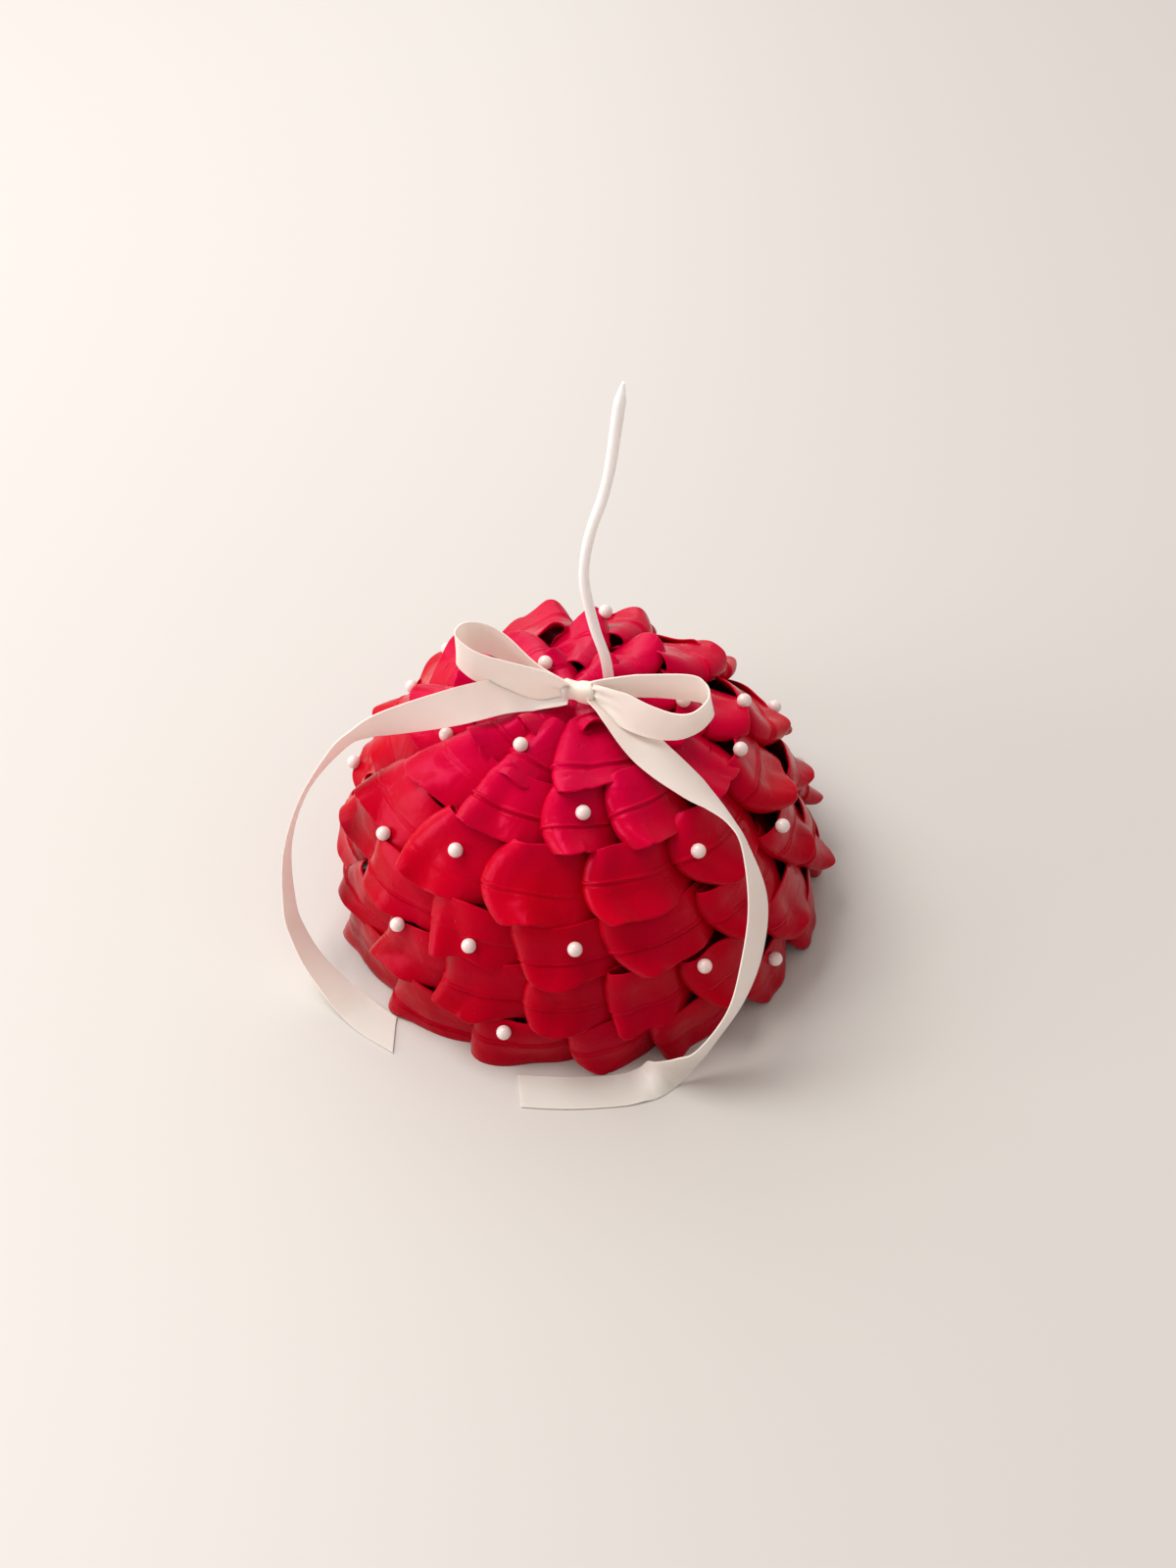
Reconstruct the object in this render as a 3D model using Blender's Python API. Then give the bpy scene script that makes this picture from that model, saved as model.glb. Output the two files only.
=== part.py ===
"""Small ruffled birthday cake with one wavy candle and a satin ribbon tied in a bow.

Metres, +Z up, front towards -Y, the cake's flat base centred on the origin at z = 0.
"""
import math

import bmesh
import bpy
import numpy as np
from mathutils import Matrix
from mathutils import Vector
from mathutils.bvhtree import BVHTree

# The dome that the petals' faces lie on
DOME_RADIUS = 0.0665
DOME_HEIGHT = 0.0705
DOME_RISE = 1.9
DOME_ROUND = 2.8

# The frosted cake under the petals
CORE_DEPTH = 0.0049
CORE_SIDES = 30
CORE_RINGS = 9

# Petals of frosting, in rows from the base to the crown
# Each row: lower edge, upper edge, lip height, flare of the lower and upper edge, its petals. Each
# petal: the angle of its fold, 0 at the front and growing to the right, and how many degrees the
# fold's upper and lower ends lie further right
ROWS = (
    (-0.003, 0.019, 0.0032, 0.0014, -0.0002,
     ((-98, 3, -2), (-74, 3, -2), (-49, 3, -2), (-26, 1.5, -1.5), (-3.5, 0.5, 3.5), (16, -1, 1.7),
      (40, -1, 4), (60, -2, 3), (84, -2, 3), (108, -2, 3), (132, -1, 2), (154, -1, 2),
      (177, -1, 2), (200, 1, 1), (222, 2, 0), (242, 2, 0))),
    (0.016, 0.034, 0.0033, 0.0028, 0.0002,
     ((-100, 3, -2), (-77, 5, -3), (-54.5, 1.5, -2.5), (-34.5, 0.5, -1.5), (-13.5, 0.5, 0.5),
      (6, -0.5, 1), (25, -1, 3.5), (50, -1.5, 4), (73, -3.5, 5), (95, -2, 3), (118, -1, 3),
      (141, -1, 2), (164, 0, 2), (187, 1, 1), (211, 2, 0), (235, 2, 0))),
    (0.032, 0.049, 0.0032, 0.0028, 0.0008,
     ((-92, 2, 0), (-67, -1, 1), (-40.5, -1.5, 3), (-16.5, -1.5, 3.5), (7, -2.5, 5.5),
      (34, -1.5, 4), (62, -4, 4.5), (86, -3, 4), (108, -2, 3), (132, -1, 3), (156, 0, 2),
      (180, 1, 2), (205, 1, 1), (226, 2, 1), (247, 2, 0))),
    (0.047, 0.068, 0.0035, 0.0032, 0.0014,
     ((-84, 7, 0), (-55, 5.5, 1.5), (-29, 7.0, 7.0), (1.5, 3, 5.3), (30, 6, 11), (62, 2, 9),
      (92, 3, 7), (123, 3, 5), (153, 4, 4), (183, 4, 4), (214, 5, 2), (245, 6, 1))),
    (0.065, 0.084, 0.0038, 0.0033, 0.0016,
     ((-76, 3.5, -2), (-45, 4, 2), (-13.5, 2.5, 5.5), (13, 3, 4.5), (45, 2, 5), (78, 2, 5),
      (112, 3, 5), (147, 3, 4), (181, 3, 3), (214, 4, 2), (250, 4, 0))),
    (0.080, 0.101, 0.0038, 0.0033, 0.0012,
     ((-73, 3, 3), (-44, 6, 4), (-14, 4, 6), (48, 2, 7), (82, 3, 8), (118, 3, 8),
      (157, 3, 8), (198, 3, 8), (241, 3, 5))),
    (0.095, 0.109, 0.0036, 0.0026, 0.0006,
     ((-66, 0, 8), (0, 0, 8), (62, 0, 8), (122, 0, 8), (180, 0, 8), (238, 0, 8))),
)
PETAL_TUCK = 0.0034
PETAL_FOLD = 0.0020
PETAL_LAP = 1.22
PETAL_ROOT = 0.0024

# The lump of frosting at the middle of the crown
LUMP_CENTRE = (0.0012, 0.0012, 0.0670)
LUMP_SIZE = (0.0090, 0.0084, 0.0074)

# Sugar pearls pressed on the petals: angle and height along the dome, seen from the front
PEARL_RADIUS = 0.0020
PEARL_SINK = 0.0006
FRONT_PEARLS = (
    (-18.2, 0.0139), (-48.5, 0.0322), (-28.0, 0.0377), (-1.9, 0.0416), (28.3, 0.0294),
    (48.9, 0.0147), (35.7, 0.0581), (-39.1, 0.0591), (2.0, 0.0746), (-38.2, 0.0886),
    (-79.5, 0.0759), (72.9, 0.0674), (64.5, 0.0465), (-142.7, 0.0986), (94.6, 0.0671),
    (-65.0, 0.0483), (83.3, 0.0834), (164.2, 0.0793), (-104.0, 0.0330), (-118.0, 0.0120),
)
# The back carries the same spread: height, first angle, step, number
BACK_PEARLS = ((0.010, 84, 36, 3), (0.027, 104, 42, 4), (0.043, 112, 40, 4), (0.055, 134, 44, 3))

# The candle: thin, wavy, pushed into a hole in the crown
CANDLE_RADIUS = 0.0015
CANDLE_SIDES = 10
WICK_LENGTH = 0.005
HOLE_GAP = 0.0003
CANDLE_TRACK = ((9.6, 4.0, 50.0), (9.5, 4.0, 66.0), (9.4, 4.0, 75.0), (8.4, 4.0, 84.0),
                (6.2, 4.0, 93.0), (4.5, 4.0, 102.5), (3.6, 4.0, 111.0), (4.3, 4.0, 119.5),
                (6.2, 4.0, 128.0), (8.7, 4.0, 136.0), (10.6, 4.0, 144.5), (11.8, 4.0, 153.0),
                (12.9, 4.0, 161.5), (14.1, 4.0, 169.0))

# The satin ribbon, in millimetres along its middle line, each with the lie of its width
RIBBON_WIDTH = 0.010
RIBBON_THICKNESS = 0.0005
RIBBON_STEPS = 2
LEFT_TAIL = (
    ((-1.5, -5.5, 80.0), (-0.05, 0.85, 0.50)), ((-10.9, -3.6, 78.8), (-0.05, 0.85, 0.50)),
    ((-18.8, -4.7, 79.2), (-0.10, 0.85, 0.50)), ((-26.8, -6.9, 79.2), (-0.18, 0.70, 0.68)),
    ((-34.9, -7.2, 77.1), (-0.28, 0.38, 0.88)), ((-50.6, -4.2, 69.7), (-0.42, -0.13, 0.90)),
    ((-57.9, -3.8, 66.0), (-0.42, -0.50, 0.76)), ((-64.7, -4.6, 61.3), (-0.33, -0.72, 0.61)),
    ((-75.2, -9.8, 49.1), (-0.12, -0.86, 0.50)), ((-81.1, -17.1, 35.1), (-0.08, -0.86, 0.50)),
    ((-81.8, -25.7, 20.6), (-0.18, -0.84, 0.52)), ((-79.8, -30.4, 13.9), (-0.24, -0.82, 0.52)),
    ((-76.1, -35.2, 8.0), (-0.35, -0.81, 0.48)), ((-71.0, -40.1, 3.5), (-0.48, -0.79, 0.37)),
    ((-65.3, -45.6, 1.0), (-0.59, -0.79, 0.10)), ((-59.5, -51.2, 0.4), (-0.56, -0.83, 0.0)),
    ((-53.0, -56.0, 0.4), (-0.52, -0.85, 0.0)),
)
RIGHT_TAIL = (
    ((4.5, -7.0, 80.0), (-0.60, -0.60, 0.35)), ((10.0, -11.1, 77.7), (-0.70, -0.62, 0.35)),
    ((18.7, -22.4, 74.6), (-0.75, -0.65, -0.10)), ((28.8, -31.5, 70.9), (-0.56, -0.81, 0.18)),
    ((34.2, -35.4, 68.3), (-0.36, -0.80, 0.48)), ((39.0, -39.5, 65.2), (-0.20, -0.73, 0.66)),
    ((42.3, -44.2, 61.0), (-0.22, -0.72, 0.65)), ((45.2, -54.0, 50.6), (-0.55, -0.66, 0.51)),
    ((43.6, -62.3, 38.5), (-0.61, -0.61, 0.51)), ((39.3, -68.8, 25.9), (-0.50, -0.69, 0.53)),
    ((31.6, -73.0, 14.1), (-0.50, -0.62, 0.60)), ((26.5, -73.9, 8.8), (-0.62, -0.32, 0.72)),
    ((20.9, -74.6, 4.2), (-0.63, 0.24, 0.70)), ((14.8, -75.4, 1.0), (-0.24, 0.97, 0.08)),
    ((8.2, -76.7, 0.4), (-0.08, 1.0, 0.0)), ((-5.3, -77.0, 0.4), (0.04, 1.0, 0.0)),
    ((-18.5, -75.8, 0.4), (0.17, 0.99, 0.0)),
)
LEFT_LOOP = (
    ((-1.5, -6.5, 81.6), (0.11, -0.08, 0.99)), ((-8.3, -5.2, 82.8), (0.09, 0.08, 0.99)),
    ((-22.8, -1.1, 85.1), (0.12, 0.02, 0.99)), ((-28.4, 2.1, 86.3), (0.06, 0.0, 0.99)),
    ((-30.8, 6.0, 87.2), (0.02, 0.05, 0.99)), ((-28.6, 9.5, 87.3), (0.0, 0.08, 0.99)),
    ((-23.6, 10.2, 86.2), (0.0, 0.06, 0.99)), ((-18.2, 8.0, 84.4), (0.0, -0.02, 0.99)),
    ((-10.2, 1.8, 80.9), (0.0, -0.20, 0.98)), ((-2.0, -4.6, 81.0), (0.0, -0.30, 0.95)),
)
RIGHT_LOOP = (
    ((5.0, -8.0, 81.6), (0.10, 0.05, 0.98)), ((12.6, -14.9, 82.3), (0.07, 0.30, 0.95)),
    ((18.9, -19.4, 82.4), (-0.02, 0.20, 0.98)), ((25.1, -21.8, 82.6), (-0.14, -0.02, 0.99)),
    ((30.2, -21.9, 83.6), (-0.22, -0.25, 0.94)), ((33.7, -19.9, 85.1), (-0.21, -0.33, 0.92)),
    ((35.1, -17.2, 86.1), (-0.15, -0.30, 0.94)), ((33.5, -14.3, 86.7), (-0.04, -0.20, 0.98)),
    ((29.7, -12.0, 86.7), (-0.06, -0.09, 0.99)), ((17.2, -8.4, 84.5), (-0.28, -0.15, 0.95)),
    ((4.8, -6.4, 82.0), (-0.08, -0.05, 0.98)),
)
LOOP_PINCH = 0.62
TAIL_SLANT = (0.0034, 0.0010)
KNOT_SIZE = (0.0100, 0.0052, 0.0066)
KNOT_CENTRE = (0.0012, -0.0058, 0.0810)
KNOT_TURN = -14.0
KNOT_ROLL = -4.0


def dome_profile():
    """Radius and height against the distance along the dome from its base."""
    height = np.linspace(0.0, DOME_HEIGHT, 1500)
    full = np.clip(1.0 - (height / DOME_HEIGHT) ** DOME_RISE, 0.0, 1.0)
    radius = DOME_RADIUS * full ** (1.0 / DOME_ROUND)
    arc = np.concatenate(([0.0], np.cumsum(np.hypot(np.diff(height), np.diff(radius)))))
    below = 0.012
    height = np.concatenate(([-below], height))
    radius = np.concatenate(([DOME_RADIUS], radius))
    arc = np.concatenate(([-below], arc))
    return arc, radius, height


ARC, RADIUS, HEIGHT = dome_profile()
CROWN = float(ARC[-1])


def on_dome(angle, along, out):
    """Point at an angle in radians, a distance along the dome and a height out of it."""
    here = min(along, CROWN - 0.0005)
    radius = float(np.interp(here, ARC, RADIUS))
    height = float(np.interp(here, ARC, HEIGHT))
    step = 0.0015
    run = float(np.interp(here + step, ARC, RADIUS) - np.interp(here - step, ARC, RADIUS))
    rise = float(np.interp(here + step, ARC, HEIGHT) - np.interp(here - step, ARC, HEIGHT))
    size = math.hypot(run, rise)
    radius = radius + out * rise / size
    height = height - out * run / size
    return Vector((radius * math.sin(angle), -radius * math.cos(angle), height))


def finish_material(name, colour, roughness):
    """A plain finish of its own for one part."""
    material = bpy.data.materials.new(name)
    material.use_nodes = True
    shader = material.node_tree.nodes["Principled BSDF"]
    shader.inputs["Base Color"].default_value = (*colour, 1.0)
    shader.inputs["Roughness"].default_value = roughness
    material.diffuse_color = (*colour, 1.0)
    return material


def mesh_object(name, points, faces, collection):
    """A mesh object from corner points and faces, turned outwards."""
    mesh = bpy.data.meshes.new(name)
    mesh.from_pydata([tuple(p) for p in points], [], faces)
    build = bmesh.new()
    build.from_mesh(mesh)
    bmesh.ops.recalc_face_normals(build, faces=build.faces)
    build.to_mesh(mesh)
    build.free()
    body = bpy.data.objects.new(name, mesh)
    collection.objects.link(body)
    return body


def core_body(collection):
    """The frosted dome under the petals, let down below the base so the base can be cut flat."""
    points = []
    for ring in range(CORE_RINGS + 1):
        along = -0.006 + (CROWN - 0.004 + 0.006) * ring / CORE_RINGS
        for side in range(CORE_SIDES):
            angle = 2.0 * math.pi * side / CORE_SIDES
            points.append(on_dome(angle, along, -CORE_DEPTH))
    points.append(on_dome(0.0, CROWN, -CORE_DEPTH))
    points[-1].x = 0.0
    points[-1].y = 0.0
    top = len(points) - 1
    faces = []
    for ring in range(CORE_RINGS):
        for side in range(CORE_SIDES):
            a = ring * CORE_SIDES + side
            b = ring * CORE_SIDES + (side + 1) % CORE_SIDES
            faces.append((a, b, b + CORE_SIDES, a + CORE_SIDES))
    last = CORE_RINGS * CORE_SIDES
    for side in range(CORE_SIDES):
        faces.append((last + side, last + (side + 1) % CORE_SIDES, top))
    faces.append(tuple(reversed(range(CORE_SIDES))))
    return mesh_object("core", points, faces, collection)


def petal_body(row, petal, following, collection):
    """One petal: a broad band that folds back at its left end and runs under the next petal."""
    low, high, lip, lift, curl, _ = row
    fold, at_top, at_bottom = petal
    middle = 0.5 * (low + high)
    reach = float(np.interp(middle, ARC, RADIUS))
    length = PETAL_LAP * math.radians(following - fold) * reach
    tuck = -PETAL_TUCK
    root = -CORE_DEPTH - PETAL_ROOT
    points = []
    levels = (0.0, 0.45, 1.0) if lift < 0.0030 else (0.0, 0.28, 0.62, 1.0)
    for level in levels:
        side = 2.0 * level - 1.0
        swing = 0.5 * (at_top - at_bottom) * side + 0.5 * (at_top + at_bottom) * side * side
        flare = lift * max(0.0, 1.0 - level / 0.62) ** 1.8 + curl * level ** 3
        crest = lip + flare
        shoulder = 0.0034 + 0.0012 * level
        # Stations across the petal: run from the fold, and height out of the dome
        stations = (
            (0.0046, root),
            (0.0016, crest - 2.0 * PETAL_FOLD),
            (0.0, crest - PETAL_FOLD),
            (0.30 * shoulder, crest - 0.12 * PETAL_FOLD),
            (0.40 * length, 0.82 * lip - 0.18 * PETAL_TUCK + 0.74 * flare),
            (0.72 * length, 0.46 * lip - 0.54 * PETAL_TUCK + 0.47 * flare),
            (length, tuck),
            (0.94 * length, root),
        )
        for place, (run, out) in enumerate(stations):
            rooted = place in (0, len(stations) - 1)
            share = 0.20 + 0.68 * level if rooted else level
            along = low + (high - low) * share
            fade = max(0.0, 1.0 - run / length)
            radius = float(np.interp(min(along, CROWN - 0.003), ARC, RADIUS))
            angle = math.radians(fold + swing * fade) + run / (0.5 * (radius + reach))
            points.append(on_dome(angle, along, out))
    count = len(stations)
    faces = []
    for band in range(len(levels) - 1):
        for place in range(count):
            a = band * count + place
            b = band * count + (place + 1) % count
            faces.append((a, b, b + count, a + count))
    faces.append(tuple(reversed(range(count))))
    faces.append(tuple((len(levels) - 1) * count + place for place in range(count)))
    return mesh_object("petal", points, faces, collection)


def pearl_places():
    """Angles in degrees and heights along the dome of all the pearls."""
    places = list(FRONT_PEARLS)
    for along, first, step, number in BACK_PEARLS:
        for place in range(number):
            places.append((first + step * place, along))
    return places


def join_all(body, others, name):
    """Fuse every object of a collection to one body and drop the collection."""
    union = body.modifiers.new(name, "BOOLEAN")
    union.operation = "UNION"
    union.solver = "MANIFOLD"
    union.operand_type = "COLLECTION"
    union.collection = others
    apply_modifiers(body)
    for other in list(others.objects):
        bpy.data.objects.remove(other, do_unlink=True)
    bpy.data.collections.remove(others)


def apply_modifiers(body):
    """Turn a body's modifiers into plain mesh."""
    bpy.context.view_layer.update()
    graph = bpy.context.evaluated_depsgraph_get()
    mesh = bpy.data.meshes.new_from_object(body.evaluated_get(graph))
    old = body.data
    body.modifiers.clear()
    body.data = mesh
    bpy.data.meshes.remove(old)


def keep_largest(body):
    """Drop loose scraps and fill sealed hollows, so that one closed shell is left."""
    build = bmesh.new()
    build.from_mesh(body.data)
    left = set(build.faces)
    shells = []
    while left:
        seed = left.pop()
        shell = {seed}
        queue = [seed]
        while queue:
            here = queue.pop()
            for edge in here.edges:
                if len(edge.link_faces) != 2:
                    continue
                for other in edge.link_faces:
                    if other not in shell:
                        shell.add(other)
                        queue.append(other)
        left -= shell
        shells.append(shell)
    shells.sort(key=len, reverse=True)
    for shell in shells[1:]:
        bmesh.ops.delete(build, geom=list(shell), context="FACES")
    build.to_mesh(body.data)
    build.free()


def smooth_track(stations, steps):
    """Middle points and width directions along a smooth line through the stations."""
    points = np.array([station[0] for station in stations]) * 0.001
    lies = np.array([station[1] for station in stations])
    last = len(stations) - 1
    track = []
    for here in range(last):
        for step in range(steps + (here == last - 1)):
            share = step / steps
            picks = [min(max(here + k, 0), last) for k in (-1, 0, 1, 2)]
            blend = (
                -0.5 * share + share ** 2 - 0.5 * share ** 3,
                1.0 - 2.5 * share ** 2 + 1.5 * share ** 3,
                0.5 * share + 2.0 * share ** 2 - 1.5 * share ** 3,
                -0.5 * share ** 2 + 0.5 * share ** 3,
            )
            middle = sum(b * points[k] for b, k in zip(blend, picks))
            lie = sum(b * lies[k] for b, k in zip(blend, picks))
            track.append((Vector(middle), Vector(lie).normalized()))
    return track


def ribbon_band(stations, collection, pinch, slant=0.0):
    """A thin band of ribbon, drawn in where the knot holds it and cut aslant at a free end."""
    track = smooth_track(stations, RIBBON_STEPS)
    last = len(track) - 1
    points = []
    for place, (middle, lie) in enumerate(track):
        before = track[max(place - 1, 0)][0]
        after = track[min(place + 1, last)][0]
        along = (after - before).normalized()
        across = (lie - along * lie.dot(along)).normalized()
        face = along.cross(across)
        half = 0.5 * RIBBON_WIDTH
        if pinch == "both":
            near = min(place, last - place)
        else:
            near = place
        half = half * min(1.0, LOOP_PINCH + 0.19 * near)
        corners = []
        for side, out in ((1, 1), (-1, 1), (-1, -1), (1, -1)):
            corners.append(middle + across * (half * side) + face * (0.5 * RIBBON_THICKNESS * out))
        if place == last:
            for corner, side in zip(corners, (1, -1, -1, 1)):
                corner += along * (slant * side)
        lift = max(0.0, 0.0001 - min(corner.z for corner in corners))
        points += [corner + Vector((0.0, 0.0, lift)) for corner in corners]
    faces = []
    for place in range(last):
        for side in range(4):
            a = 4 * place + side
            b = 4 * place + (side + 1) % 4
            faces.append((a, b, b + 4, a + 4))
    faces.append((3, 2, 1, 0))
    faces.append(tuple(4 * last + side for side in range(4)))
    return mesh_object("band", points, faces, collection)


def ribbon_knot(collection):
    """The band wrapped round the middle of the bow, as a soft block."""
    build = bmesh.new()
    bmesh.ops.create_cube(build, size=1.0)
    bmesh.ops.scale(build, vec=KNOT_SIZE, verts=build.verts)
    long_edges = [e for e in build.edges
                  if abs(e.verts[0].co.x - e.verts[1].co.x) > 0.5 * KNOT_SIZE[0]]
    bmesh.ops.bevel(build, geom=long_edges, offset=0.0016, segments=2, profile=0.5,
                    affect="EDGES")
    for vert in build.verts:
        if vert.co.x < 0.0:
            vert.co.z *= 0.82
    turn = Matrix.Rotation(math.radians(KNOT_TURN), 4, "Z")
    roll = Matrix.Rotation(math.radians(-KNOT_ROLL), 4, "Y")
    bmesh.ops.transform(build, matrix=Matrix.Translation(KNOT_CENTRE) @ turn @ roll,
                        verts=build.verts)
    mesh = bpy.data.meshes.new("knot")
    build.to_mesh(mesh)
    build.free()
    knot = bpy.data.objects.new("knot", mesh)
    collection.objects.link(knot)
    return knot


def candle_rings(radius, first, last, tip):
    """Rings of points round the candle's track, drawn to a point at the wick."""
    stations = [(place, (1.0, 0.0, 0.0)) for place in CANDLE_TRACK]
    track = smooth_track(stations, 3)
    length = [0.0]
    for here, there in zip(track, track[1:]):
        length.append(length[-1] + (there[0] - here[0]).length)
    end = length[-1]
    points = []
    rings = 0
    for place, (middle, lie) in enumerate(track):
        if not first <= place <= last:
            continue
        before = track[max(place - 1, 0)][0]
        after = track[min(place + 1, len(track) - 1)][0]
        along = (after - before).normalized()
        across = (lie - along * lie.dot(along)).normalized()
        other = along.cross(across)
        size = radius
        if tip:
            left = end - length[place]
            swell = 1.0 - 0.10 * math.sin(math.pi * length[place] / end)
            size = radius * swell * min(1.0, 0.26 + 0.74 * left / WICK_LENGTH)
        for side in range(CANDLE_SIDES):
            angle = 2.0 * math.pi * side / CANDLE_SIDES
            points.append(middle + across * (size * math.cos(angle)) + other * (size * math.sin(angle)))
        rings += 1
    faces = []
    for ring in range(rings - 1):
        for side in range(CANDLE_SIDES):
            a = ring * CANDLE_SIDES + side
            b = ring * CANDLE_SIDES + (side + 1) % CANDLE_SIDES
            faces.append((a, b, b + CANDLE_SIDES, a + CANDLE_SIDES))
    faces.append(tuple(reversed(range(CANDLE_SIDES))))
    faces.append(tuple((rings - 1) * CANDLE_SIDES + side for side in range(CANDLE_SIDES)))
    return points, faces


def mesh_box(name, centre, size, collection):
    """A plain box."""
    build = bmesh.new()
    bmesh.ops.create_cube(build, size=1.0)
    bmesh.ops.scale(build, vec=size, verts=build.verts)
    bmesh.ops.translate(build, vec=centre, verts=build.verts)
    mesh = bpy.data.meshes.new(name)
    build.to_mesh(mesh)
    build.free()
    box = bpy.data.objects.new(name, mesh)
    collection.objects.link(box)
    return box


def cut_away(body, cutter):
    """Cut one body out of another."""
    cut = body.modifiers.new("cut", "BOOLEAN")
    cut.operation = "DIFFERENCE"
    cut.solver = "MANIFOLD"
    cut.object = cutter
    apply_modifiers(body)


def new_collection(name, parent):
    """A collection under another one."""
    collection = bpy.data.collections.new(name)
    parent.children.link(collection)
    return collection


def main():
    for old in list(bpy.data.objects):
        bpy.data.objects.remove(old, do_unlink=True)
    scene = bpy.context.scene
    parts = new_collection("birthday_cake", scene.collection)
    cutters = new_collection("cutters", scene.collection)
    cutters.hide_render = True

    cake = core_body(parts)
    cake.name = "cake"
    petals = new_collection("petals", scene.collection)
    for row in ROWS:
        in_row = row[5]
        for place, petal in enumerate(in_row):
            last_one = place + 1 == len(in_row)
            following = in_row[0][0] + 360 if last_one else in_row[place + 1][0]
            petal_body(row, petal, following, petals)
    corners = []
    faces = []
    for petal in petals.objects:
        first = len(corners)
        corners += [petal.matrix_world @ v.co for v in petal.data.vertices]
        faces += [tuple(first + k for k in p.vertices) for p in petal.data.polygons]
    skin = BVHTree.FromPolygons(corners, faces)
    for angle, along in pearl_places():
        outside = on_dome(math.radians(angle), along, 0.030)
        inside = on_dome(math.radians(angle), along, 0.0)
        hit, _, _, _ = skin.ray_cast(outside, inside - outside)
        out = (outside - inside).normalized()
        centre = hit + out * (PEARL_RADIUS - PEARL_SINK)
        build = bmesh.new()
        bmesh.ops.create_uvsphere(build, u_segments=6, v_segments=4, radius=PEARL_RADIUS)
        turn = Vector((0.0, 0.0, 1.0)).rotation_difference(out).to_matrix().to_4x4()
        bmesh.ops.transform(build, matrix=Matrix.Translation(centre) @ turn, verts=build.verts)
        mesh = bpy.data.meshes.new("pearl")
        build.to_mesh(mesh)
        build.free()
        petals.objects.link(bpy.data.objects.new("pearl", mesh))
    build = bmesh.new()
    bmesh.ops.create_uvsphere(build, u_segments=12, v_segments=7, radius=1.0)
    bmesh.ops.scale(build, vec=LUMP_SIZE, verts=build.verts)
    bmesh.ops.translate(build, vec=LUMP_CENTRE, verts=build.verts)
    mesh = bpy.data.meshes.new("lump")
    build.to_mesh(mesh)
    build.free()
    petals.objects.link(bpy.data.objects.new("lump", mesh))
    join_all(cake, petals, "petals, pearls and lump")

    base_cut = mesh_box("base_cut", (0.0, 0.0, -0.020), (0.3, 0.3, 0.040), cutters)
    cut_away(cake, base_cut)
    points, faces = candle_rings(CANDLE_RADIUS + HOLE_GAP, 0, 20, False)
    hole = mesh_object("candle_hole", points, faces, cutters)
    cut_away(cake, hole)
    keep_largest(cake)
    cake.data.materials.clear()
    cake.data.materials.append(finish_material("frosting", (0.62, 0.001, 0.026), 0.40))

    points, faces = candle_rings(CANDLE_RADIUS, 1, 99, True)
    candle = mesh_object("candle", points, faces, parts)
    candle.data.materials.append(finish_material("candle_wax", (0.88, 0.82, 0.79), 0.40))

    bands = new_collection("bands", scene.collection)
    ribbon = ribbon_knot(parts)
    ribbon.name = "ribbon"
    ribbon_band(LEFT_TAIL, bands, "start", TAIL_SLANT[0])
    ribbon_band(RIGHT_TAIL, bands, "start", TAIL_SLANT[1])
    ribbon_band(LEFT_LOOP, bands, "both")
    ribbon_band(RIGHT_LOOP, bands, "both")
    join_all(ribbon, bands, "bow and tails")
    keep_largest(ribbon)
    ribbon.data.materials.clear()
    ribbon.data.materials.append(finish_material("satin", (0.86, 0.73, 0.63), 0.45))

    for cutter in cutters.objects:
        cutter.hide_render = True
        cutter.display_type = "WIRE"


main()
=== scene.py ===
import math

import bpy
import numpy as np
from mathutils import Matrix
from mathutils import Vector
from mathutils.bvhtree import BVHTree


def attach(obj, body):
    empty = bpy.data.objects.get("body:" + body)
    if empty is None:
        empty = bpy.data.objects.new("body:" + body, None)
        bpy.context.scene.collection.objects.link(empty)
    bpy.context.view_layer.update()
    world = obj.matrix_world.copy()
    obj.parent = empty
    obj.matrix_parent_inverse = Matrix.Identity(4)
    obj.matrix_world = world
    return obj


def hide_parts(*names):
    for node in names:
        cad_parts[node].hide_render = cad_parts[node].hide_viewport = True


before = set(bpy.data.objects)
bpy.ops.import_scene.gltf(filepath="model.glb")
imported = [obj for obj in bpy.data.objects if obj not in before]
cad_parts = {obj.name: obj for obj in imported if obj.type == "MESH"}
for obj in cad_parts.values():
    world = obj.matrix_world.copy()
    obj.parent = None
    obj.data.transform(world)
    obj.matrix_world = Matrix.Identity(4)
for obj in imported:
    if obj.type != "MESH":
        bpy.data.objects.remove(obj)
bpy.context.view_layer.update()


# The camera
# A phone held above the table's edge, looking down at the front of the cake.

camera = bpy.data.objects.new("camera", bpy.data.cameras.new("camera"))
camera.data.sensor_width = 36.0
camera.data.lens = 40.275
camera.matrix_world = Matrix((
    (0.99940749, 0.03441894, 0.0, 0.0027958),
    (-0.02506746, 0.72787266, -0.68525397, -0.3390160),
    (-0.02358571, 0.68484796, 0.72830419, 0.3994501),
    (0.0, 0.0, 0.0, 1.0),
))
bpy.context.scene.collection.objects.link(camera)
bpy.context.scene.camera = camera


# The table top and the light
# A plain warm white table, lit by a large window behind and to the left and by the pale room.

TABLE_COLOUR = (0.60, 0.575, 0.545)
TABLE_SIZE = 6.0

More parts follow.
